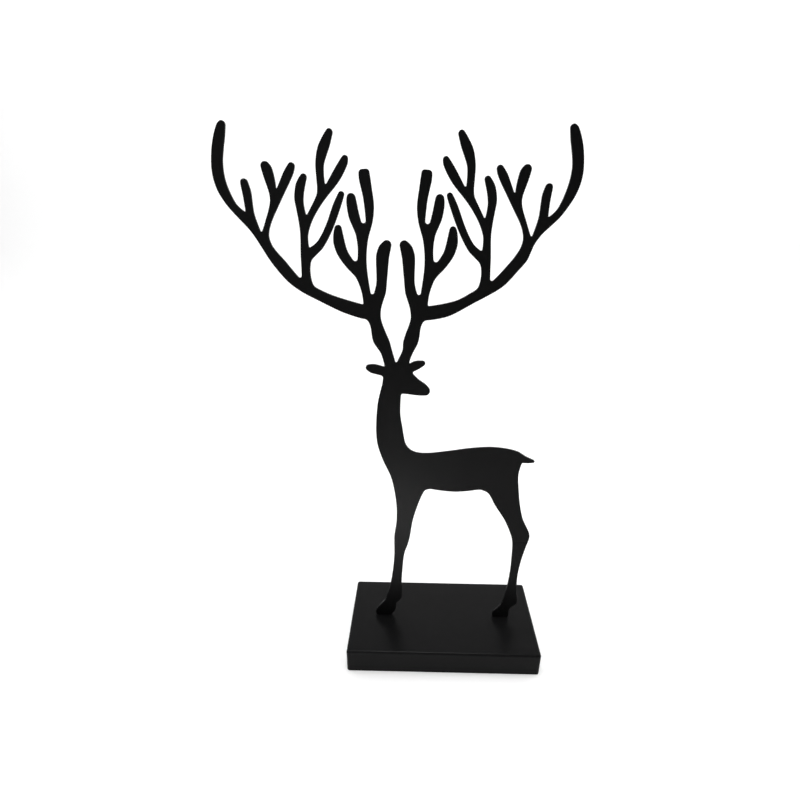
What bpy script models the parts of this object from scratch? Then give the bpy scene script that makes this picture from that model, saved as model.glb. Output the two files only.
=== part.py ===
"""Reindeer figurine: a flat steel plate cut to the animal's outline, standing on a folded steel base.

X points to the viewer's right, Y away from the viewer and Z up. The origin is on the surface that the
base stands on, at the middle of the whole object's extent. Lengths are in metres unless a name says mm.
"""

import math

import bmesh
import bpy
import numpy as np

# Plate
FIGURE_HEIGHT = 0.4305
PLATE_THICKNESS = 0.002

# Base, a shallow tray folded from sheet and turned upside down
BASE_WIDTH = 0.181
BASE_DEPTH = 0.096
BASE_HEIGHT = 0.024
SHEET = 0.0015
FOLD_RADIUS = 0.0026
FOLD_SEGMENTS = 4

# Fit of the plate on the base: its place behind the base's middle line, and the gap under its hooves
PLATE_SETBACK = 0.0
SEAT_GAP = 0.0003

# Fineness of the cut edge
ARC_STEP = math.radians(28)
TURN_STEP = math.radians(12)
LONGEST_CHORD_MM = 8.0

# How far the cut edge lies outside the belt round the stops
EDGE_GROWTH_MM = 0.45

# The outline is a belt round the stops below, grown a little all round, in millimetres on a drawing of the
# plate. A stop is (x, z), a place that the belt passes through, or (x, z, radius), a disc that it runs
# round: outside a rounded tip where the radius is positive, and inside a crotch where it is negative. On the
# drawing x is 0 over the base's middle and z is 0 at the hooves.
ANTLER_AXIS_MM = -46.3

# One antler, from the head outwards, with x counted from the antlers' axis
BEAM_UNDERSIDE = [
    (12.6, 272.0), (16.8, 279.6), (18.1, 284.8), (18.8, 291.3), (20.4, 296.1), (22.6, 298.4), (26.0, 299.1),
    (40.0, 303.2), (60.0, 313.0), (70.0, 318.2), (80.0, 325.3), (90.0, 336.8), (95.0, 344.2), (100.0, 354.2),
    (105.0, 361.7), (115.0, 372.4), (120.0, 378.7), (124.0, 385.3), (126.8, 393.5), (127.5, 402.5),
    (125.0, 417.0), (120.6, 428.0),
]
OUTER_TINES = [
    (117.8, 427.9, 1.95), (116.9, 421.0), (120.2, 406.0), (119.6, 393.5), (113.9, 378.5), (108.3, 374.3, -1.0),
    (107.7, 384.5), (106.2, 392.5, 2.2), (102.5, 386.5), (101.9, 373.0), (97.6, 361.3, -1.2),
    (92.5, 370.0), (88.9, 379.0), (88.3, 385.0), (91.1, 395.5), (90.1, 402.9, 2.7), (86.1, 402.0),
    (84.3, 392.5), (83.3, 389.7, -0.9), (76.9, 399.5), (71.8, 403.1, 1.95), (71.0, 399.0), (82.2, 380.0),
    (90.5, 365.7), (92.4, 357.5), (90.3, 350.0), (82.6, 340.0), (71.7, 330.0, -1.9),
]
MIDDLE_TINES = [
    (69.4, 344.0), (68.5, 362.0), (70.0, 376.0), (70.8, 382.5), (69.0, 392.0), (63.9, 396.4, 1.85),
    (64.2, 388.5), (65.4, 380.5), (63.4, 372.9, -1.0), (58.7, 378.5), (55.1, 385.0), (54.3, 390.5),
    (54.6, 404.0), (52.3, 415.0), (44.5, 423.7, 1.9), (45.3, 415.0), (49.6, 404.0), (48.6, 393.0, -1.1),
    (41.0, 402.5), (34.6, 408.1, 1.8), (33.3, 405.0), (39.2, 394.8), (51.4, 381.0), (59.3, 369.7),
    (63.6, 359.0), (62.6, 351.0, -1.2), (56.6, 354.0), (50.0, 364.5), (43.5, 379.5), (38.1, 385.7, 1.7),
    (39.9, 376.0), (46.1, 362.0), (53.9, 349.5), (61.6, 342.2), (63.3, 338.5), (63.8, 330.0), (61.8, 322.6),
    (56.3, 319.0), (46.0, 314.4), (25.5, 310.4, -1.3),
]
INNER_TINES = [
    (25.2, 318.5), (29.2, 329.3), (35.6, 336.3), (41.9, 345.0), (44.7, 353.5), (44.2, 361.0),
    (41.3, 363.3, 2.1), (38.1, 358.0), (35.6, 348.0), (29.8, 342.9, -2.3), (27.2, 351.0), (28.5, 360.0),
    (32.6, 370.0), (34.2, 379.5), (31.2, 383.6, 2.7), (26.6, 374.5), (23.0, 368.8, -2.1), (22.4, 384.0),
    (24.9, 395.5), (22.9, 399.2, 2.2), (20.1, 399.9, 1.7), (16.8, 389.0), (15.6, 378.5), (16.8, 368.0),
    (20.1, 357.0), (21.7, 344.5), (21.4, 333.5), (19.9, 322.0), (17.6, 318.6, -1.8), (14.0, 325.5),
    (13.9, 335.5), (13.8, 345.0), (11.6, 351.5), (6.4, 352.5, 3.0), (5.0, 344.5), (6.8, 327.0),
    (7.8, 318.3), (11.2, 307.5), (11.5, 298.5), (7.9, 287.5), (5.7, 280.5), (4.6, 274.0), (2.1, 267.0),
]
ANTLER = BEAM_UNDERSIDE + OUTER_TINES + MIDDLE_TINES + INNER_TINES
ANTLER_CROTCH = [(0.4, 264.8, -1.2)]

# The antlers are near mirror images, and each has soft bends of its own: (x, z, reach, outwards, up), a
# centre and a reach on the antler, and the move there, which fades to a third at the reach
LEFT_BENDS = [
    (121.0, 415.0, 28.0, -1.2, 0.0), (119.0, 430.0, 8.0, -0.5, -0.3), (108.0, 375.0, 8.0, -0.7, 0.1),
    (103.0, 383.0, 8.0, -0.3, 0.0), (97.6, 361.5, 5.0, -0.6, 0.0), (88.5, 371.0, 7.0, -0.8, 0.0),
    (82.0, 338.0, 12.0, -0.4, 0.4), (95.5, 343.5, 6.0, -0.5, 0.2), (42.0, 312.0, 12.0, 0.0, 0.6),
    (5.0, 273.0, 9.0, -1.2, 0.0), (13.0, 272.0, 6.0, -0.4, 0.0), (10.5, 293.0, 6.0, 0.4, 0.0),
]
RIGHT_BENDS = [
    (121.0, 415.0, 28.0, 1.1, 0.0), (111.0, 376.0, 8.0, 0.5, -0.9), (106.0, 392.0, 7.0, 0.0, -0.7),
    (97.6, 361.0, 5.0, 0.2, -0.7), (83.3, 389.0, 4.0, -0.3, -1.0), (83.0, 333.0, 11.0, 0.7, -0.8),
    (95.5, 343.5, 5.0, 1.1, -0.5), (42.0, 309.0, 16.0, 0.0, -1.8), (48.6, 393.0, 4.0, 0.0, -0.6),
    (63.4, 372.5, 4.0, 0.0, -0.6), (60.0, 348.5, 8.0, -0.2, -0.9), (10.5, 293.0, 6.0, 1.0, 0.0),
    (5.0, 273.0, 9.0, 1.2, 0.0),
]

# The rest of the animal, from the ear on the viewer's left down the neck and round to the other ear
LEFT_EAR = [
    (-55.4, 263.9), (-56.0, 261.0, -1.1), (-59.5, 260.9), (-64.5, 261.8), (-68.0, 259.3, 1.95), (-66.0, 255.4),
    (-61.5, 254.2), (-58.7, 250.9, -2.5),
]
NECK_AND_CHEST = [
    (-56.8, 246.0), (-60.4, 231.0), (-62.2, 214.0), (-62.4, 199.0), (-61.1, 189.0), (-56.2, 173.7),
    (-50.6, 160.5), (-47.3, 146.0), (-45.4, 130.5), (-45.1, 120.0), (-45.5, 110.0), (-47.3, 96.0),
]
FORELEG = [
    (-47.4, 76.0), (-49.0, 54.5), (-52.0, 35.0), (-54.6, 25.5), (-56.2, 19.4), (-63.4, 9.6), (-65.8, 4.2),
    (-64.9, 1.05, 0.6), (-51.5, 0.95, 0.5), (-48.4, 4.4), (-47.0, 8.0), (-46.7, 12.0), (-46.0, 15.6),
    (-41.9, 20.5), (-41.0, 24.5), (-41.2, 40.0), (-40.0, 63.0), (-38.5, 77.0), (-35.6, 86.8), (-33.4, 97.5),
    (-31.4, 112.8), (-27.2, 129.5),
]
BELLY = [
    (-22.8, 142.3), (-20.2, 146.5), (-15.6, 147.9), (-8.0, 146.8), (7.0, 145.6), (21.0, 147.1), (28.8, 148.1),
    (36.5, 144.4),
]
HIND_LEG = [
    (43.0, 132.8), (53.5, 116.2), (60.0, 101.7), (62.8, 92.0), (63.9, 70.0), (64.0, 60.0), (62.4, 36.0),
    (60.0, 21.5), (58.3, 15.6), (52.2, 7.6), (50.9, 4.4), (51.7, 1.15, 0.7), (65.5, 0.95, 0.5), (66.2, 8.0),
    (67.3, 12.0), (72.3, 16.6), (73.4, 19.5), (72.2, 29.0), (70.8, 44.0), (70.9, 57.0), (72.6, 72.5),
    (75.4, 87.6), (77.3, 97.0), (76.6, 102.0), (71.6, 112.2), (69.2, 117.5), (65.3, 132.0), (62.4, 149.0),
]
TAIL_AND_BACK = [
    (60.8, 164.0), (62.3, 173.6), (63.8, 174.9, -1.0), (68.0, 175.7), (72.6, 177.0, 0.8), (66.0, 181.0),
    (59.0, 185.4), (49.0, 188.2), (35.0, 189.5), (18.0, 188.1), (0.0, 185.1), (-17.0, 182.7), (-24.0, 182.6),
    (-29.5, 183.5), (-34.0, 185.8), (-37.0, 189.2), (-38.8, 193.2), (-41.0, 206.5), (-42.8, 218.5),
    (-42.6, 233.0),
]
FACE = [
    (-40.2, 235.8, -2.2), (-31.0, 237.0), (-26.0, 236.6), (-22.2, 240.2, 3.5), (-22.2, 245.4), (-28.3, 249.9),
    (-30.6, 255.3, -2.2),
]
RIGHT_EAR = [
    (-28.2, 259.0), (-24.8, 263.5, 1.7), (-27.8, 265.2), (-31.5, 264.6), (-34.9, 263.9, -0.9), (-35.1, 266.8),
]
BODY = LEFT_EAR + NECK_AND_CHEST + FORELEG + BELLY + HIND_LEG + TAIL_AND_BACK + FACE + RIGHT_EAR

POWDER_BLACK = (0.012, 0.012, 0.013, 1.0)


def bent(stop, bends):
    """A stop of an antler after that antler's soft bends."""
    x, z, *radius = stop
    pull = [math.exp(-(math.hypot(x - at_x, z - at_z) / reach) ** 2) for at_x, at_z, reach, _, _ in bends]
    outwards = sum(share * bend[3] for share, bend in zip(pull, bends))
    up = sum(share * bend[4] for share, bend in zip(pull, bends))
    return (x + outwards, z + up, *radius)


def antler(side, bends):
    """One antler's stops on the drawing: side is 1 to the right of the antlers' axis and -1 to its left."""
    return [(ANTLER_AXIS_MM + side * x, *rest) for x, *rest in (bent(stop, bends) for stop in ANTLER)]


def plate_stops():
    """Every stop of the outline, anticlockwise as the viewer sees it."""
    crotch = [(ANTLER_AXIS_MM + x, z, radius) for x, z, radius in ANTLER_CROTCH]
    return antler(1, RIGHT_BENDS) + crotch + antler(-1, LEFT_BENDS)[::-1] + BODY


def heading(start, end, start_radius, end_radius):
    """The direction of the straight run that leaves one disc and meets the next, as an angle."""
    step = end - start
    offset = (end_radius - start_radius) / np.linalg.norm(step)
    return math.atan2(step[1], step[0]) - math.asin(offset)


def arc(centre, radius, angle_in, angle_out):
    """Points round one disc, from the run that reaches it to the run that leaves it."""
    turn = (angle_out - angle_in + math.pi / 2) % (2 * math.pi) - math.pi / 2
    if radius < 0:
        turn = (angle_out - angle_in - math.pi / 2) % (2 * math.pi) - 3 * math.pi / 2
    count = max(2, math.ceil(abs(turn) / ARC_STEP) + 1)
    angles = angle_in + np.linspace(0.0, turn, count)
    return centre + radius * np.stack([np.sin(angles), -np.cos(angles)], axis=1)


def belt(stops):
    """The closed belt's points: arcs round the discs, and the plain stops between them."""
    centres = np.array([stop[:2] for stop in stops])
    radii = [stop[2] if len(stop) > 2 else 0.0 for stop in stops]
    following = np.roll(np.arange(len(stops)), -1)
    headings = [heading(centres[i], centres[j], radii[i], radii[j]) for i, j in enumerate(following)]
    pieces = []
    for i, radius in enumerate(radii):
        if radius:
            pieces.append(arc(centres[i], radius, headings[i - 1], headings[i]))
        else:
            pieces.append(centres[i : i + 1])
    return np.concatenate(pieces)


def flowing(points):
    """A smooth closed edge through the points, a cubic with centripetal knots, divided where it turns."""
    before, after, beyond = (np.roll(points, shift, axis=0) for shift in (1, -1, -2))
    run_in, run, run_out = (
        np.linalg.norm(b - a, axis=1, keepdims=True) ** 0.5
        for a, b in ((before, points), (points, after), (after, beyond))
    )
    leave = run * (
        (points - before) / run_in - (after - before) / (run_in + run) + (after - points) / run
    )
    reach = run * (
        (after - points) / run - (beyond - points) / (run + run_out) + (beyond - after) / run_out
    )
    cross = leave[:, 0] * reach[:, 1] - leave[:, 1] * reach[:, 0]
    turns = np.abs(np.arctan2(cross, np.sum(leave * reach, axis=1)))
    chords = run[:, 0] ** 2
    counts = np.ceil(np.maximum(np.maximum(turns / TURN_STEP, chords / LONGEST_CHORD_MM), 1.0)).astype(int)
    edge = []
    for i, count in enumerate(counts):
        t = np.arange(count)[:, None] / count
        edge.append(
            (2 * t**3 - 3 * t**2 + 1) * points[i]
            + (t**3 - 2 * t**2 + t) * leave[i]
            + (3 * t**2 - 2 * t**3) * after[i]
            + (t**3 - t**2) * reach[i]
        )
    return np.concatenate(edge)


def grown(edge, distance):
    """An anticlockwise closed edge moved outwards by a distance."""
    along = np.roll(edge, -1, axis=0) - np.roll(edge, 1, axis=0)
    along /= np.linalg.norm(along, axis=1, keepdims=True)
    return edge + distance * np.stack([along[:, 1], -along[:, 0]], axis=1)


def plate_edge():
    """The plate's cut edge in metres: x from the base's middle, z from the hooves, which are cut level."""
    edge = grown(flowing(belt(plate_stops())), EDGE_GROWTH_MM)
    edge[:, 1] = np.maximum(edge[:, 1], 0.0)
    return edge * (FIGURE_HEIGHT / edge[:, 1].max())


def powder_coat(name, roughness):
    """A black powder coat on steel."""
    material = bpy.data.materials.new(name)
    material.use_nodes = True
    shader = material.node_tree.nodes["Principled BSDF"]
    shader.inputs["Base Color"].default_value = POWDER_BLACK
    shader.inputs["Roughness"].default_value = roughness
    shader.inputs["Metallic"].default_value = 0.0
    return material


def make_plate(edge):
    """The animal: a flat outline, thickened to the sheet and stood upright."""
    curve = bpy.data.curves.new("reindeer_plate", "CURVE")
    curve.dimensions = "2D"
    curve.fill_mode = "BOTH"
    curve.extrude = PLATE_THICKNESS / 2
    spline = curve.splines.new("POLY")
    spline.points.add(len(edge) - 1)
    flat = np.zeros((len(edge), 4))
    flat[:, :2] = edge
    flat[:, 3] = 1.0
    spline.points.foreach_set("co", flat.ravel())
    spline.use_cyclic_u = True
    plate = bpy.data.objects.new("reindeer_plate", curve)
    plate.location = (0.0, PLATE_SETBACK, BASE_HEIGHT + SEAT_GAP)
    plate.rotation_euler = (math.pi / 2, 0.0, 0.0)
    curve.materials.append(powder_coat("plate_coat", 0.5))
    return plate


def make_base():
    """The base: a box without its underside, its folds rounded, thickened inwards to the sheet."""
    box = bmesh.new()
    bmesh.ops.create_cube(box, size=1.0)
    bmesh.ops.scale(box, vec=(BASE_WIDTH, BASE_DEPTH, BASE_HEIGHT), verts=box.verts)
    underside = min(box.faces, key=lambda face: face.calc_center_median().z)
    bmesh.ops.delete(box, geom=[underside], context="FACES_ONLY")
    mesh = bpy.data.meshes.new("folded_base")
    box.to_mesh(mesh)
    box.free()
    base = bpy.data.objects.new("folded_base", mesh)
    base.location.z = BASE_HEIGHT / 2
    folds = base.modifiers.new("Folds", "BEVEL")
    folds.width = FOLD_RADIUS
    folds.segments = FOLD_SEGMENTS
    wall = base.modifiers.new("Sheet", "SOLIDIFY")
    wall.thickness = SHEET
    wall.offset = -1.0
    wall.use_even_offset = True
    mesh.shade_smooth()
    mesh.set_sharp_from_angle(angle=math.radians(35))
    mesh.materials.append(powder_coat("base_coat", 0.45))
    return base


def main():
    """Clears the scene, makes the two pieces and stands them so that their extent is centred."""
    for old in list(bpy.data.objects):
        bpy.data.objects.remove(old, do_unlink=True)
    collection = bpy.data.collections.new("reindeer_figurine")
    bpy.context.scene.collection.children.link(collection)
    edge = plate_edge()
    plate = make_plate(edge)
    base = make_base()
    figurine = bpy.data.objects.new("reindeer_figurine", None)
    for item in (figurine, plate, base):
        collection.objects.link(item)
    plate.parent = base.parent = figurine
    left = min(edge[:, 0].min(), -BASE_WIDTH / 2)
    right = max(edge[:, 0].max(), BASE_WIDTH / 2)
    figurine.location.x = -(left + right) / 2


main()
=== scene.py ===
"""Looks of the metal reindeer figurine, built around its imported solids.

The animal is one flat outline cut from steel sheet. It stands across the middle of a low base folded from
steel sheet, open underneath, and both carry a satin black powder coat. X points to the viewer's right, Y
away from the viewer and Z up, in metres.
"""

import logging
import math
from dataclasses import dataclass
from enum import Enum

import bpy
import numpy as np
from mathutils import Euler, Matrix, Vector


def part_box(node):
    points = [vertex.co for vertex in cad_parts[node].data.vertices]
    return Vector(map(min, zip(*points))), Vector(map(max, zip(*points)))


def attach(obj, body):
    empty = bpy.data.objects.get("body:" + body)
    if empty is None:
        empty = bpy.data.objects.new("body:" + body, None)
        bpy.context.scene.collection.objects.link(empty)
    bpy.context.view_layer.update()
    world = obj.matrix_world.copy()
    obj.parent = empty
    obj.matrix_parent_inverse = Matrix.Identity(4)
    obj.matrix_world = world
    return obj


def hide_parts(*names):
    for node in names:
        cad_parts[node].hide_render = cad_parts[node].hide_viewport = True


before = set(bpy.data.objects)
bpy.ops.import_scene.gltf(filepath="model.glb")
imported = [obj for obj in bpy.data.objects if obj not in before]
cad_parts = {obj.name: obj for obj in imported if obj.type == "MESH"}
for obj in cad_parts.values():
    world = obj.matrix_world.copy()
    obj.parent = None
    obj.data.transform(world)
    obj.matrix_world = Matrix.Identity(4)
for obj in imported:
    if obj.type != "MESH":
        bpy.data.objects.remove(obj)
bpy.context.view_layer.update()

EDGE_ATTRIBUTE = "coat_edge"
LOG = logging.getLogger("reindeer_figurine")


class Face(Enum):
    """Which broad face of the plate a ring of points belongs to, as the sign of its Y."""

    FRONT = -1.0
    BACK = 1.0


@dataclass(frozen=True)
class PowderCoat:
    """A baked powder coat: satin, with a soft orange-peel swell and a fine tooth in it.

    Attributes:
        name: The material's name.
        colour: Linear colour of the pigment.
        edge_colour: Linear colour where the coat pulls thin over an edge or a fold.
        roughness: Middle of the roughness over the flat faces.
        edge_roughness: Roughness over the edges and folds.
        specular_level: Strength of the mirror part, 0.5 for a plain lacquer.
        peel_width: Width of one swell of the orange peel, in metres.
        peel_height: Height of the swell, in metres.
        tooth_width: Width of one grain of the fine tooth, in metres.
        tooth_height: Height of the tooth, in metres.
        cloud_width: Width of the slow clouds in tone and gloss, in metres.
        cloud_tone: How far the clouds lighten and darken the pigment, as a share.
        cloud_gloss: How far they raise and lower the roughness.
    """

    name: str
    colour: tuple[float, float, float] = (0.0060, 0.0060, 0.0062)
    edge_colour: tuple[float, float, float] = (0.0072, 0.0072, 0.0074)
    roughness: float = 0.29
    edge_roughness: float = 0.26
    specular_level: float = 0.068
    peel_width: float = 0.0016
    peel_height: float = 0.000012
    tooth_width: float = 0.0004
    tooth_height: float = 0.0000025
    cloud_width: float = 0.035
    cloud_tone: float = 0.2
    cloud_gloss: float = 0.04

    def material(self) -> bpy.types.Material:
        """Builds the coat as a node material.

        Returns:
            The material, all of it worked out from the object's own coordinates and its edge attribute.
        """
        coat = bpy.data.materials.new(self.name)
        coat.use_nodes = True
        tree = coat.node_tree
        shader = tree.nodes["Principled BSDF"]
        shader.inputs["Metallic"].default_value = 0.0
        shader.inputs["Specular IOR Level"].default_value = self.specular_level
        place = tree.nodes.new("ShaderNodeTexCoord").outputs["Object"]
        edge = tree.nodes.new("ShaderNodeAttribute")
        edge.attribute_name = EDGE_ATTRIBUTE
        clouds = self._noise(tree, place, self.cloud_width, 3.0)
        tooth = self._noise(tree, place, self.tooth_width, 2.0)
        peel = self._noise(tree, place, self.peel_width, 1.0)

        strength = self._spread(tree, clouds, 1.0 - self.cloud_tone, 1.0 + self.cloud_tone)
        tone = self._mixed_colour(tree, strength, self.colour)
        worn = tree.nodes.new("ShaderNodeMix")
        worn.data_type = "RGBA"
        tree.links.new(edge.outputs["Fac"], worn.inputs["Factor"])
        tree.links.new(tone, worn.inputs[6])
        worn.inputs[7].default_value = (*self.edge_colour, 1.0)
        tree.links.new(worn.outputs[2], shader.inputs["Base Color"])

        slow = self._spread(
            tree, clouds, self.roughness - self.cloud_gloss, self.roughness + self.cloud_gloss
        )
        gloss = tree.nodes.new("ShaderNodeMix")
        gloss.data_type = "FLOAT"
        tree.links.new(edge.outputs["Fac"], gloss.inputs["Factor"])
        tree.links.new(slow, gloss.inputs[2])
        gloss.inputs[3].default_value = self.edge_roughness
        tree.links.new(gloss.outputs[0], shader.inputs["Roughness"])

        swell = self._bump(tree, peel, self.peel_height, None)
        grain = self._bump(tree, tooth, self.tooth_height, swell)
        tree.links.new(grain, shader.inputs["Normal"])
        return coat

    def _noise(
        self, tree: bpy.types.NodeTree, place: bpy.types.NodeSocket, width: float, detail: float
    ) -> bpy.types.NodeSocket:
        """Adds a solid noise whose swells are about one width across.

        Args:
            tree: The node tree.
            place: The coordinates that it reads.
            width: Width of a swell, in metres.
            detail: How many finer layers it has.

        Returns:
            Its value, from about 0.2 to 0.8.
        """
        noise = tree.nodes.new("ShaderNodeTexNoise")
        noise.inputs["Scale"].default_value = 0.5 / width
        noise.inputs["Detail"].default_value = detail
        noise.inputs["Roughness"].default_value = 0.5
        tree.links.new(place, noise.inputs["Vector"])
        return noise.outputs["Fac"]

    def _spread(
        self, tree: bpy.types.NodeTree, value: bpy.types.NodeSocket, low: float, high: float
    ) -> bpy.types.NodeSocket:
        """Maps a noise's range straight onto low to high and returns that socket."""
        spread = tree.nodes.new("ShaderNodeMapRange")
        spread.inputs["From Min"].default_value = 0.1
        spread.inputs["From Max"].default_value = 0.9
        spread.inputs["To Min"].default_value = low
        spread.inputs["To Max"].default_value = high
        tree.links.new(value, spread.inputs["Value"])
        return spread.outputs["Result"]

    def _mixed_colour(
        self, tree: bpy.types.NodeTree, strength: bpy.types.NodeSocket, colour: tuple[float, float, float]
    ) -> bpy.types.NodeSocket:
        """Multiplies a colour by a changing strength and returns that socket."""
        scaled = tree.nodes.new("ShaderNodeVectorMath")
        scaled.operation = "SCALE"
        scaled.inputs[0].default_value = colour
        tree.links.new(strength, scaled.inputs["Scale"])
        return scaled.outputs["Vector"]

    def _bump(
        self,
        tree: bpy.types.NodeTree,
        height: bpy.types.NodeSocket,
        depth: float,
        under: bpy.types.NodeSocket | None,
    ) -> bpy.types.NodeSocket:
        """Raises the surface by a height map.

        Args:
            tree: The node tree.
            height: The map, 0 to 1.
            depth: What 1 stands for, in metres.
            under: The normal that it adds to, or None for the plain surface.

        Returns:
            The new normal.
        """
        bump = tree.nodes.new("ShaderNodeBump")
        bump.inputs["Strength"].default_value = 1.0
        bump.inputs["Distance"].default_value = depth
        tree.links.new(height, bump.inputs["Height"])
        if under is not None:
            tree.links.new(under, bump.inputs["Normal"])
        return bump.outputs["Normal"]


@dataclass
class Surface:
    """A closed mesh as arrays, before it becomes an object.

    Attributes:
        points: (n, 3) places of its vertices, in metres.
        normals: (n, 3) directions in which its vertices shine.
        edge: (n,) how far each vertex lies on an edge or a fold, 0 to 1.
        faces: Its faces, each a list of vertex numbers, anticlockwise from outside.
    """

    points: np.ndarray
    normals: np.ndarray
    edge: np.ndarray
    faces: list[list[int]]

    def placed(self, name: str, coat: bpy.types.Material) -> bpy.types.Object:
        """Makes the surface an object at the origin, with its place in its mesh.

        Args:
            name: The object's name.
            coat: Its material.

        Returns:
            The object, linked to the scene.
        """
        mesh = bpy.data.meshes.new(name)
        mesh.from_pydata(self.points.tolist(), [], self.faces)
        mesh.shade_smooth()
        mesh.normals_split_custom_set_from_vertices(self.normals.tolist())
        amount = mesh.attributes.new(EDGE_ATTRIBUTE, "FLOAT", "POINT")
        amount.data.foreach_set("value", self.edge.astype(np.float32))
        mesh.materials.append(coat)
        mesh.update()
        piece = bpy.data.objects.new(name, mesh)
        bpy.context.scene.collection.objects.link(piece)
        return piece


def strips(rings: int, around: int) -> np.ndarray:
    """Quads between closed rings of points: ring r's point i is vertex r * around + i.

    Args:
        rings: How many rings there are.
        around: How many points each ring has.

    Returns:
        (quads, 4) vertex numbers. They face outwards where the points run anticlockwise as seen from the
        side that the rings advance to.
    """
    ring, point = np.meshgrid(np.arange(rings - 1), np.arange(around), indexing="ij")
    following = (point + 1) % around
    here, there = ring * around, (ring + 1) * around
    quads = np.stack([here + point, here + following, there + following, there + point], axis=-1)
    return quads.reshape(-1, 4)


@dataclass
class ReindeerPlate:
    """The animal: a flat plate whose cut edge is eased by the coat.

    Attributes:
        node: The solid that it stands for.
        coat: Its finish.
        ease: Radius of the eased edge, in metres.
        ease_steps: Steps round a quarter of the eased edge.
        spacing: Distance between points along the cut edge, in metres.
    """

    node: str
    coat: PowderCoat
    ease: float = 0.0003
    ease_steps: int = 4
    spacing: float = 0.0006

    def outline(self) -> np.ndarray:
        """Walks once round the solid's front face.

        The front face's directed edges whose opposite isn't there are its rim. Each names the point that
        follows it, and doubling those jumps puts all of them in order.

        Returns:
            (n, 2) x and z of the rim's points, anticlockwise as the viewer sees them.
        """
        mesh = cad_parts[self.node].data
        mesh.calc_loop_triangles()
        places = np.empty(len(mesh.vertices) * 3, np.float32)
        mesh.vertices.foreach_get("co", places)
        corners = np.empty(len(mesh.loop_triangles) * 3, np.int32)
        mesh.loop_triangles.foreach_get("vertices", corners)
        places, merged = np.unique(
            np.round(places.reshape(-1, 3).astype(float), 6), axis=0, return_inverse=True
        )
        corners = merged.reshape(-1)[corners].reshape(-1, 3)
        middle = (places[:, 1].min() + places[:, 1].max()) / 2
        corners = corners[(places[corners][:, :, 1] < middle).all(axis=1)]
        runs = np.concatenate([corners[:, [0, 1]], corners[:, [1, 2]], corners[:, [2, 0]]])
        count = len(places)
        rim = runs[~np.isin(runs[:, 0] * count + runs[:, 1], runs[:, 1] * count + runs[:, 0])]
        jump = np.zeros(count, int)
        jump[rim[:, 0]] = rim[:, 1]
        order = rim[:1, 0]
        while len(order) < len(rim):
            order = np.concatenate([order, jump[order]])
            jump = jump[jump]
        return places[order[: len(rim)]][:, [0, 2]]

    def flowing(self, points: np.ndarray) -> tuple[np.ndarray, np.ndarray]:
        """Draws a smooth closed curve through points, evenly divided.

        Between two points the curve is a cubic whose end tangents are those of centripetal knots, which
        lie apart by the square root of the distance between the points.

        Args:
            points: (n, 2) places that it passes through.

        Returns:
            (m, 2) points on the curve, and (m, 2) directions that point out of the plate there.
        """
        before, after, beyond = (np.roll(points, shift, axis=0) for shift in (1, -1, -2))
        run_in, run, run_out = (
            np.linalg.norm(b - a, axis=1, keepdims=True) ** 0.5
            for a, b in ((before, points), (points, after), (after, beyond))
        )
        leave = run * (
            (points - before) / run_in - (after - before) / (run_in + run) + (after - points) / run
        )
        reach = run * (
            (after - points) / run - (beyond - points) / (run + run_out) + (beyond - after) / run_out
        )
        counts = np.ceil(run[:, 0] ** 2 / self.spacing).astype(int)
        owner = np.repeat(np.arange(len(points)), counts)
        first = np.cumsum(counts) - counts
        t = ((np.arange(len(owner)) - first[owner]) / counts[owner])[:, None]
        start, end, leave, reach = points[owner], after[owner], leave[owner], reach[owner]
        curve = (
            (2 * t**3 - 3 * t**2 + 1) * start
            + (t**3 - 2 * t**2 + t) * leave
            + (3 * t**2 - 2 * t**3) * end
            + (t**3 - t**2) * reach
        )
        curve = np.clip(curve, points.min(axis=0), points.max(axis=0))
        along = np.roll(curve, -1, axis=0) - np.roll(curve, 1, axis=0)
        along /= np.linalg.norm(along, axis=1, keepdims=True)
        return curve, np.stack([along[:, 1], -along[:, 0]], axis=1)

    def surface(self) -> Surface:
        """Carries the eased edge round the outline and closes it with the two flat faces.

        A ring at angle a from the cut edge's middle lies ease * (1 - cos a) inside the outline, and
        ease * sin a past the straight part of the edge towards its own flat face.

        Returns:
            The plate's closed surface.
        """
        curve, out = self.flowing(self.outline())
        low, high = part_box(self.node)
        middle, straight = (low.y + high.y) / 2, (high.y - low.y) / 2 - self.ease
        quarter = np.linspace(0.0, math.pi / 2, self.ease_steps + 1)
        angles = np.concatenate([quarter[::-1], quarter])
        sides = np.repeat([Face.FRONT.value, Face.BACK.value], self.ease_steps + 1)
        inset = curve[None] - self.ease * (1 - np.cos(angles))[:, None, None] * out[None]
        depth = middle + sides * (straight + self.ease * np.sin(angles))
        depth = np.broadcast_to(depth[:, None], inset.shape[:2])
        points = np.stack([inset[..., 0], depth, inset[..., 1]], axis=-1).reshape(-1, 3)
        side = np.broadcast_to((sides * np.sin(angles))[:, None], inset.shape[:2])
        tilt = np.cos(angles)[:, None, None] * out[None]
        normals = np.stack([tilt[..., 0], side, tilt[..., 1]], axis=-1).reshape(-1, 3)
        edge = np.repeat(np.cos(angles), len(curve))
        around = len(curve)
        quads = strips(len(angles), around)[:, ::-1].tolist()
        front = list(range(around))
        back = list(range(len(points) - around, len(points)))[::-1]
        return Surface(points, normals, edge, [*quads, front, back])

    def build(self) -> bpy.types.Object:
        """Makes the plate, which replaces its solid and rides on the one body."""
        piece = self.surface().placed("cut_reindeer", self.coat.material())
        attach(piece, "root")
        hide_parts(self.node)
        return piece


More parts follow.
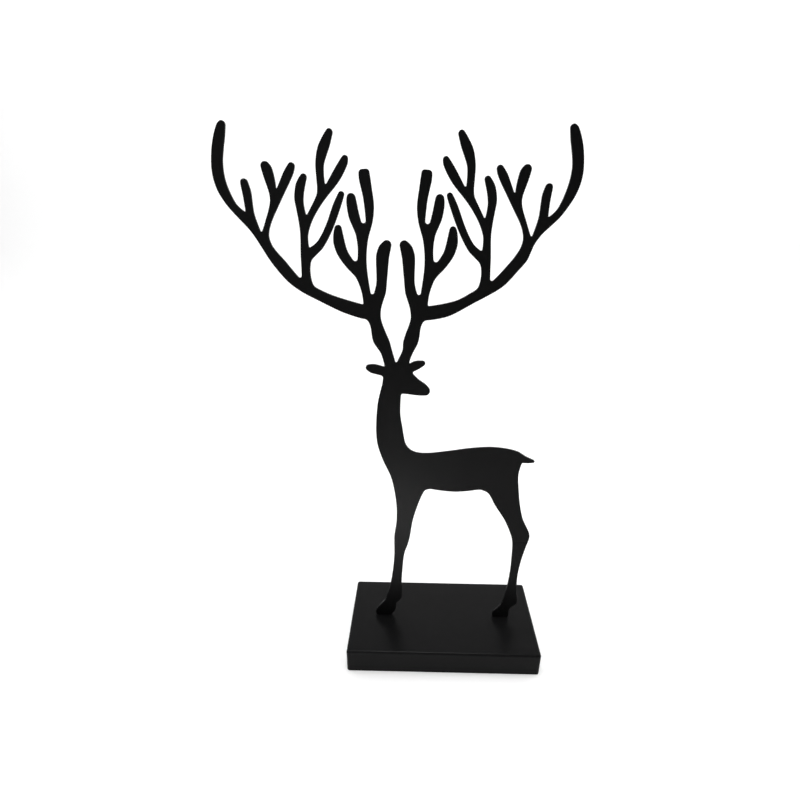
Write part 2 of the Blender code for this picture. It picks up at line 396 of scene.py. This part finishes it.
@dataclass
class FoldedBase:
    """The base: a top and four walls folded from one sheet, open underneath.

    Attributes:
        node: The solid that it stands for.
        coat: Its finish.
        sheet: Thickness of the sheet, in metres.
        fold_radius: Outer radius of the folds and of the closed corners, in metres.
        fold_steps: Steps round one fold.
        lip: Radius of the eased lower edge, in metres.
        lip_steps: Steps round one corner of the lower edge.
        spacing: Distance between points along a straight side, in metres.
    """

    node: str
    coat: PowderCoat
    sheet: float = 0.0015
    fold_radius: float = 0.0026
    fold_steps: int = 10
    lip: float = 0.0003
    lip_steps: int = 3
    spacing: float = 0.004

    def track(self, half_width: float, half_depth: float) -> tuple[np.ndarray, np.ndarray]:
        """Divides a rounded rectangle's outline.

        A point of it is an anchor on the plain rectangle plus a reach times a unit direction. Along a side
        the anchor moves and the direction holds, and at a corner the direction turns and the anchor holds.

        Args:
            half_width: Half the plain rectangle's width, in metres.
            half_depth: Half its depth, in metres.

        Returns:
            (n, 2) anchors and (n, 2) directions, anticlockwise from above.
        """
        turn = np.linspace(0.0, math.pi / 2, self.fold_steps + 1)
        corners = np.array([[1, 1], [-1, 1], [-1, -1], [1, -1]]) * [half_width, half_depth]
        anchors, directions = [], []
        for quarter, corner in enumerate(corners):
            angle = turn + quarter * math.pi / 2
            following = corners[(quarter + 1) % 4]
            count = max(2, math.ceil(np.linalg.norm(following - corner) / self.spacing))
            share = np.arange(1, count)[:, None] / count
            arc = np.stack([np.cos(angle), np.sin(angle)], axis=1)
            anchors += [np.repeat(corner[None], len(angle), axis=0), corner + share * (following - corner)]
            directions += [arc, np.repeat(arc[-1:], count - 1, axis=0)]
        return np.concatenate(anchors), np.concatenate(directions)

    def profile(self, top: float, bottom: float) -> tuple[np.ndarray, np.ndarray, np.ndarray]:
        """The section of a wall, from the top's outside down the wall and up its inside to the top again.

        It is a quarter circle of the outer radius, the wall, two eased corners at its lower edge, the
        wall's inside, and a quarter circle of the inner radius.

        Args:
            top: Height of the top, in metres.
            bottom: Height of the lower edge, in metres.

        Returns:
            (k, 2) reach and height of each ring, (k, 2) its normal's outward and upward parts, and (k,) how
            far it lies on a fold or an edge.
        """
        fold = np.linspace(0.0, math.pi / 2, self.fold_steps + 1)
        ease = np.linspace(0.0, math.pi / 2, self.lip_steps + 1)
        inner = self.fold_radius - self.sheet
        bend = top - self.fold_radius
        outer_fold = np.stack([np.sin(fold), np.cos(fold)], axis=1)
        outer_lip = np.stack([np.cos(ease), -np.sin(ease)], axis=1)
        inner_lip = outer_lip[::-1] * [-1.0, 1.0]
        inner_fold = outer_fold[::-1]
        places = np.concatenate(
            [
                [0.0, bend] + self.fold_radius * outer_fold,
                [self.fold_radius - self.lip, bottom + self.lip] + self.lip * outer_lip,
                [inner + self.lip, bottom + self.lip] + self.lip * inner_lip,
                [0.0, bend] + inner * inner_fold,
            ]
        )
        normals = np.concatenate([outer_fold, outer_lip, inner_lip, -inner_fold])
        bent = np.concatenate([np.sin(2 * fold), np.sin(ease), np.sin(ease)[::-1], 0.0 * fold])
        return places, normals, bent

    def surface(self) -> Surface:
        """Carries the section round the rounded rectangle and closes the top's outside and inside.

        A ring's point is the anchor plus reach times the direction, at the ring's height. The rings of no
        reach keep their corner points in one place, so those are welded. A quad with one side welded away
        becomes a triangle, and one with two is left out.

        Returns:
            The base's closed surface.
        """
        low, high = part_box(self.node)
        half = np.array([high.x - low.x, high.y - low.y]) / 2
        centre = np.array([high.x + low.x, high.y + low.y]) / 2
        anchors, directions = self.track(*(half - self.fold_radius))
        places, slopes, bent = self.profile(high.z, low.z)
        around, rings = len(anchors), len(places)
        flat = centre + anchors[None] + places[:, 0, None, None] * directions[None]
        height = np.broadcast_to(places[:, 1, None, None], (rings, around, 1))
        points = np.concatenate([flat, height], axis=2)
        leaning = slopes[:, 0, None, None] * directions[None]
        upward = np.broadcast_to(slopes[:, 1, None, None], (rings, around, 1))
        normals = np.concatenate([leaning, upward], axis=2)
        quads = strips(rings, around)[:, ::-1]
        points = points.reshape(-1, 3)
        _, kept, merged = np.unique(np.round(points, 7), axis=0, return_index=True, return_inverse=True)
        merged = merged.reshape(-1)
        quads = merged[quads]
        welded = quads == np.roll(quads, -1, axis=1)
        narrowed = welded.sum(axis=1) == 1
        triangles = quads[narrowed][~welded[narrowed]].reshape(-1, 3)
        quads = quads[~welded.any(axis=1)]
        top, inside = merged[:around], merged[-around:][::-1]
        top, inside = (ring[ring != np.roll(ring, 1)].tolist() for ring in (top, inside))
        edge = np.repeat(bent, around)
        faces = [*quads.tolist(), *triangles.tolist(), top, inside]
        return Surface(points[kept], normals.reshape(-1, 3)[kept], edge[kept], faces)

    def build(self) -> bpy.types.Object:
        """Makes the base, which replaces its solid and rides on the one body."""
        piece = self.surface().placed("folded_plinth", self.coat.material())
        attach(piece, "root")
        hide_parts(self.node)
        return piece


def hung(
    light: bpy.types.Light, place: tuple[float, float, float], target: tuple[float, float, float]
) -> bpy.types.Object:
    """Hangs a light at a place, turned to look at its target, and returns its object."""
    lamp = bpy.data.objects.new(light.name, light)
    lamp.location = place
    lamp.rotation_euler = (Vector(target) - Vector(place)).to_track_quat("-Z", "Y").to_euler()
    bpy.context.scene.collection.objects.link(lamp)
    return lamp


@dataclass(frozen=True)
class Lamp:
    """A soft square light that looks at a place.

    Attributes:
        name: Its name.
        place: Where it hangs, in metres.
        target: What it looks at, in metres.
        width: Its width and height, in metres.
        watts: Its power.
    """

    name: str
    place: tuple[float, float, float]
    target: tuple[float, float, float]
    width: float
    watts: float

    def hang(self) -> bpy.types.Object:
        """Makes the light and returns its object."""
        light = bpy.data.lights.new(self.name, "AREA")
        light.shape = "SQUARE"
        light.size = self.width
        light.energy = self.watts
        return hung(light, self.place, self.target)


@dataclass(frozen=True)
class Spot:
    """A spotlight that throws a soft-edged pool of light on the floor.

    Attributes:
        name: Its name.
        place: Where it hangs, in metres.
        target: Middle of its pool, in metres.
        cone: Full angle of its beam, in degrees.
        watts: Its power.
        bulb: Radius of its bulb, which softens its shadows, in metres.
    """

    name: str
    place: tuple[float, float, float]
    target: tuple[float, float, float]
    cone: float
    watts: float
    bulb: float = 0.03

    def hang(self) -> bpy.types.Object:
        """Makes the light and returns its object."""
        light = bpy.data.lights.new(self.name, "SPOT")
        light.spot_size = math.radians(self.cone)
        light.spot_blend = 1.0
        light.shadow_soft_size = self.bulb
        light.energy = self.watts
        return hung(light, self.place, self.target)


SOFTBOXES = (
    Lamp("left_softbox", (-1.4, 0.0, 1.2), (0.0, 0.1, 0.0), 1.4, 8.0),
    Lamp("right_softbox", (1.4, 0.0, 1.2), (0.0, 0.1, 0.0), 1.4, 8.0),
    Lamp("top_softbox", (0.0, 0.0, 1.7), (0.0, 0.0, 0.0), 0.6, 14.0),
    Lamp("front_card", (-0.5, -1.8, 0.45), (0.0, 0.0, 0.35), 0.9, 1.0),
    Lamp("left_backdrop_softbox", (-1.3, 0.7, 1.9), (-1.2, 1.8, 0.6), 1.2, 11.0),
    Lamp("right_backdrop_softbox", (1.3, 0.7, 1.9), (1.2, 1.8, 0.6), 1.2, 11.0),
    Lamp("upper_backdrop_softbox", (0.0, 0.9, 2.0), (0.0, 1.8, 2.1), 0.8, 13.0),
)
POOL = Spot("pool_spot", (-0.2, -0.5, 0.95), (-0.04, -0.23, 0.0), 14.0, 210.0)


@dataclass
class Studio:
    """A pale paper sweep, soft lamps and the camera.

    Attributes:
        half_width: Half the paper's width, in metres.
        near: How far the paper reaches towards the viewer, in metres.
        far: Where the paper starts to rise behind the object, in metres.
        rise_radius: Radius of its rise, in metres.
        height: Height of its upper edge, in metres.
        paper: Linear colour of the paper.
        painted_glow: Painted light: the brightness that the paper gives off by itself as emission, in place
            of lamp light.
        end_painted_glow: The same painted light at the paper's left and right ends, made stronger there
            because the lamps don't reach that far.
        painted_glow_start: How far to the side the painted light starts to rise to that of the ends, in
            metres.
        surroundings: Brightness of the dim room, as the object sees it.
        backdrop: Brightness of the room as the camera sees it past the paper's ends.
        sensor: Width of the camera's sensor, in millimetres.
        lens: Its focal length, in millimetres.
        shift: Its shift to the right and up, as shares of the sensor.
        camera_place: Where it stands, in metres.
        camera_turn: Its turn about X, Y and Z, in degrees.
    """

    half_width: float = 3.0
    near: float = 0.75
    far: float = 1.3
    rise_radius: float = 0.5
    height: float = 2.4
    paper: tuple[float, float, float] = (0.82, 0.82, 0.82)
    painted_glow: float = 0.25
    end_painted_glow: float = 0.8
    painted_glow_start: float = 1.7
    surroundings: float = 0.2
    backdrop: float = 1.0
    sensor: float = 36.0
    lens: float = 22.722
    shift: tuple[float, float] = (-0.0145, 0.0293)
    camera_place: tuple[float, float, float] = (0.01325, -0.38842, 0.40769)
    camera_turn: tuple[float, float, float] = (66.0534, -0.6569, 0.9924)

    def sweep(self) -> bpy.types.Object:
        """Lays the paper: a section of floor, quarter circle and wall, carried straight across.

        Returns:
            The paper, as part of the stage.
        """
        turn = np.linspace(0.0, math.pi / 2, 17)
        quarter = np.stack([np.sin(turn), -np.cos(turn)], axis=1)
        section = np.concatenate(
            [
                np.stack([np.linspace(-self.near, self.far, 24), np.zeros(24)], axis=1)[:-1],
                [self.far, self.rise_radius] + self.rise_radius * quarter,
                [[self.far + self.rise_radius, self.height]],
            ]
        )
        across = np.linspace(-self.half_width, self.half_width, 13)
        x, row = np.meshgrid(across, np.arange(len(section)), indexing="ij")
        points = np.stack([x, section[row, 0], section[row, 1]], axis=-1).reshape(-1, 3)
        column, step = np.meshgrid(np.arange(len(across) - 1), np.arange(len(section) - 1), indexing="ij")
        corner = column * len(section) + step
        faces = np.stack([corner, corner + len(section), corner + len(section) + 1, corner + 1], axis=-1)
        mesh = bpy.data.meshes.new("paper_sweep")
        mesh.from_pydata(points.tolist(), [], faces.reshape(-1, 4).tolist())
        mesh.shade_smooth()
        mesh.materials.append(self.pale_paper())
        paper = bpy.data.objects.new("paper_sweep", mesh)
        bpy.context.scene.collection.objects.link(paper)
        return paper

    def pale_paper(self) -> bpy.types.Material:
        """Builds the matt paper, whose glow rises with the distance to the side.

        Returns:
            The material.
        """
        white = bpy.data.materials.new("pale_paper")
        white.use_nodes = True
        tree = white.node_tree
        shader = tree.nodes["Principled BSDF"]
        shader.inputs["Base Color"].default_value = (*self.paper, 1.0)
        shader.inputs["Roughness"].default_value = 0.9
        shader.inputs["Specular IOR Level"].default_value = 0.1
        # Painted light: the paper gives off light of its own, rising towards its left and right ends where
        # the lamps don't reach.
        shader.inputs["Emission Color"].default_value = (1.0, 1.0, 1.0, 1.0)
        place = tree.nodes.new("ShaderNodeSeparateXYZ")
        tree.links.new(tree.nodes.new("ShaderNodeTexCoord").outputs["Object"], place.inputs["Vector"])
        aside = tree.nodes.new("ShaderNodeMath")
        aside.operation = "ABSOLUTE"
        tree.links.new(place.outputs["X"], aside.inputs[0])
        painted_glow = tree.nodes.new("ShaderNodeMapRange")
        painted_glow.inputs["From Min"].default_value = self.painted_glow_start
        painted_glow.inputs["From Max"].default_value = self.half_width
        painted_glow.inputs["To Min"].default_value = self.painted_glow
        painted_glow.inputs["To Max"].default_value = self.end_painted_glow
        tree.links.new(aside.outputs["Value"], painted_glow.inputs["Value"])
        tree.links.new(painted_glow.outputs["Result"], shader.inputs["Emission Strength"])
        return white

    def light(self) -> None:
        """Sets a dim room that looks white past the paper's ends, and hangs the lamps."""
        world = bpy.data.worlds.new("studio_room")
        world.use_nodes = True
        tree = world.node_tree
        room = tree.nodes["Background"]
        room.inputs["Color"].default_value = (1.0, 1.0, 1.0, 1.0)
        ray = tree.nodes.new("ShaderNodeLightPath")
        seen = tree.nodes.new("ShaderNodeMapRange")
        seen.inputs["To Min"].default_value = self.surroundings
        seen.inputs["To Max"].default_value = self.backdrop
        tree.links.new(ray.outputs["Is Camera Ray"], seen.inputs["Value"])
        tree.links.new(seen.outputs["Result"], room.inputs["Strength"])
        bpy.context.scene.world = world
        for lamp in (*SOFTBOXES, POOL):
            lamp.hang()
        bpy.context.scene.view_settings.view_transform = "Standard"

    def camera(self) -> bpy.types.Object:
        """Sets the camera at the photograph's place, turn, lens and small shift."""
        lens = bpy.data.cameras.new("studio_camera")
        lens.sensor_width = self.sensor
        lens.lens = self.lens
        lens.shift_x, lens.shift_y = self.shift
        lens.clip_start = 0.01
        lens.clip_end = 50.0
        camera = bpy.data.objects.new("studio_camera", lens)
        camera.location = self.camera_place
        camera.rotation_euler = Euler([math.radians(angle) for angle in self.camera_turn], "XYZ")
        bpy.context.scene.collection.objects.link(camera)
        bpy.context.scene.camera = camera
        return camera

    def build(self) -> None:
        """Lays the paper, lights it and sets the camera."""
        self.sweep()
        self.light()
        self.camera()


def main() -> None:
    """Builds the plate, the base and the studio."""
    logging.basicConfig(level=logging.INFO, format="%(message)s")
    plate_coat = PowderCoat("plate_powder_coat", (0.0060, 0.0060, 0.0062), specular_level=0.068)
    base_coat = PowderCoat("base_powder_coat", (0.0046, 0.0046, 0.0048), specular_level=0.06)
    plate = ReindeerPlate("reindeer_plate", plate_coat)
    base = FoldedBase("folded_base", base_coat)
    for part in (plate, base):
        piece = part.build()
        LOG.info("%s stands for %s with %d faces", piece.name, part.node, len(piece.data.polygons))
    Studio().build()


if __name__ == "__main__":
    main()
